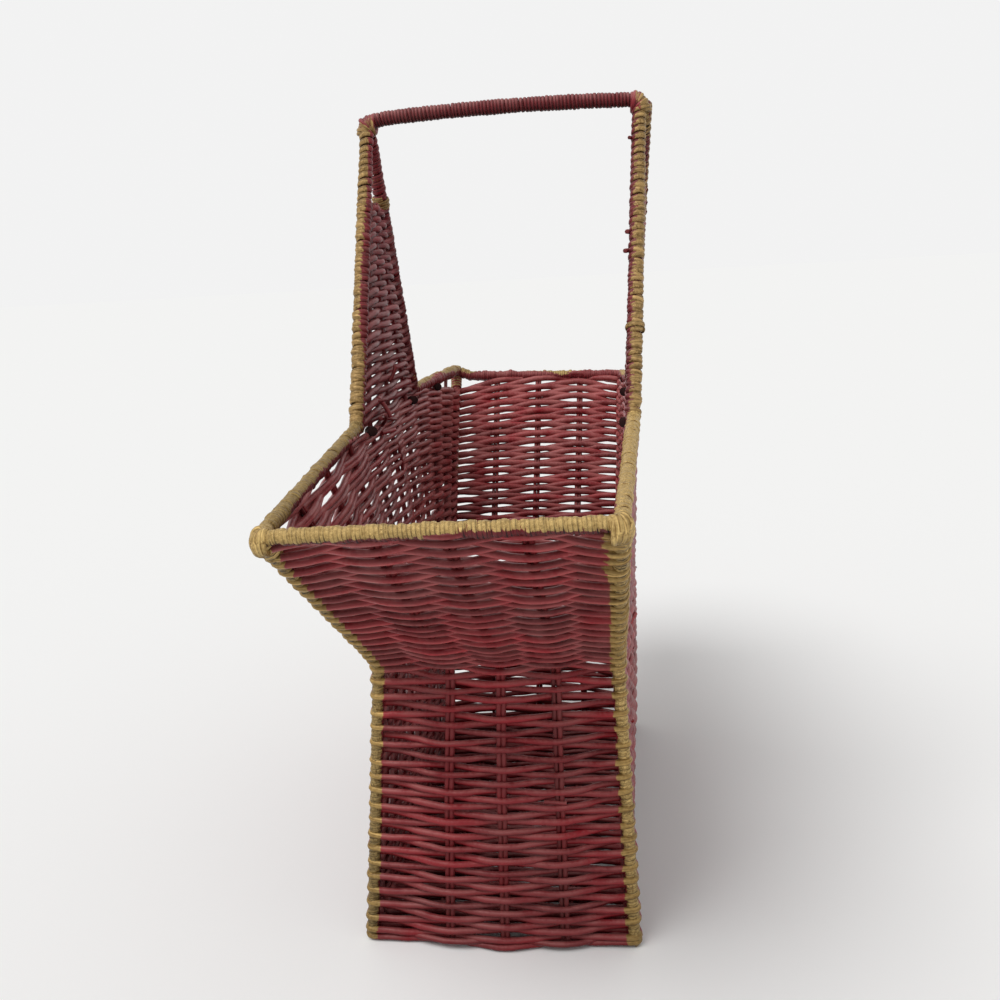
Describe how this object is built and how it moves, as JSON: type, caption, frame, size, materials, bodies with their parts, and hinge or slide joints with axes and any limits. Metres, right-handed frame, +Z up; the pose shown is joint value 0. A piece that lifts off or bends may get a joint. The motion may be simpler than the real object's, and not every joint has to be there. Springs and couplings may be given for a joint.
{
  "type": "wall pocket basket",
  "caption": "Woven reed wall pocket basket with a flared collar and a peaked handle over the middle, painted red and gold.",
  "frame": {"origin": "middle of the overall length and depth, on the surface that the feet stand on", "axes": "+X along the basket, +Y to the back that hangs on a wall, +Z up"},
  "size_m": [0.357, 0.123, 0.329],
  "materials": {
    "red_reed": "dark red stained reed under satin lacquer",
    "stake_reed": "dark red stained reed under satin lacquer",
    "red_rod": "dark red stained rod under satin lacquer",
    "red_cane": "dark red stained split cane",
    "gilt_rod": "dark red rod brushed with gold paint on its outer side",
    "gilt_cane": "dark red split cane brushed with gold paint on its outer side"
  },
  "bodies": {
    "root": {"base_rail_back": "red_rod", "base_rail_front": "red_rod", "base_rail_left": "red_rod", "base_rail_right": "red_rod", "binding_back_left": "gilt_cane", "binding_back_right": "gilt_cane", "binding_bar": "red_cane", "binding_front_left": "gilt_cane", "binding_front_right": "gilt_cane", "handle_bar": "red_rod", "post_back_left": "gilt_rod", "post_back_right": "gilt_rod", "post_front_left": "gilt_rod", "post_front_right": "gilt_rod", "rim_rail_back_left": "gilt_rod", "rim_rail_back_right": "gilt_rod", "rim_rail_front_left": "gilt_rod", "rim_rail_front_right": "gilt_rod", "rim_rail_left": "gilt_rod", "rim_rail_right": "gilt_rod", "stake_back_1": "stake_reed", "stake_back_2": "stake_reed", "stake_back_3": "stake_reed", "stake_back_4": "stake_reed", "stake_back_5": "stake_reed", "stake_back_6": "stake_reed", "stake_base_1": "stake_reed", "stake_base_2": "stake_reed", "stake_base_3": "stake_reed", "stake_front_1": "stake_reed", "stake_front_2": "stake_reed", "stake_front_3": "stake_reed", "stake_front_4": "stake_reed", "stake_front_5": "stake_reed", "stake_front_6": "stake_reed", "stake_left_1": "stake_reed", "stake_left_2": "stake_reed", "stake_left_3": "stake_reed", "stake_right_1": "stake_reed", "stake_right_2": "stake_reed", "stake_right_3": "stake_reed", "upright_back_left": "gilt_rod", "upright_back_right": "gilt_rod", "upright_front_left": "gilt_rod", "upright_front_right": "gilt_rod", "wattle_base": "red_reed", "wattle_collar_back": "red_reed", "wattle_collar_front": "red_reed", "wattle_collar_left": "red_reed", "wattle_collar_right": "red_reed", "wattle_lower_back": "red_reed", "wattle_lower_front": "red_reed", "wattle_lower_left": "red_reed", "wattle_lower_right": "red_reed", "wattle_peak_back": "red_reed", "wattle_peak_front": "red_reed"}
  },
  "joints": []
}
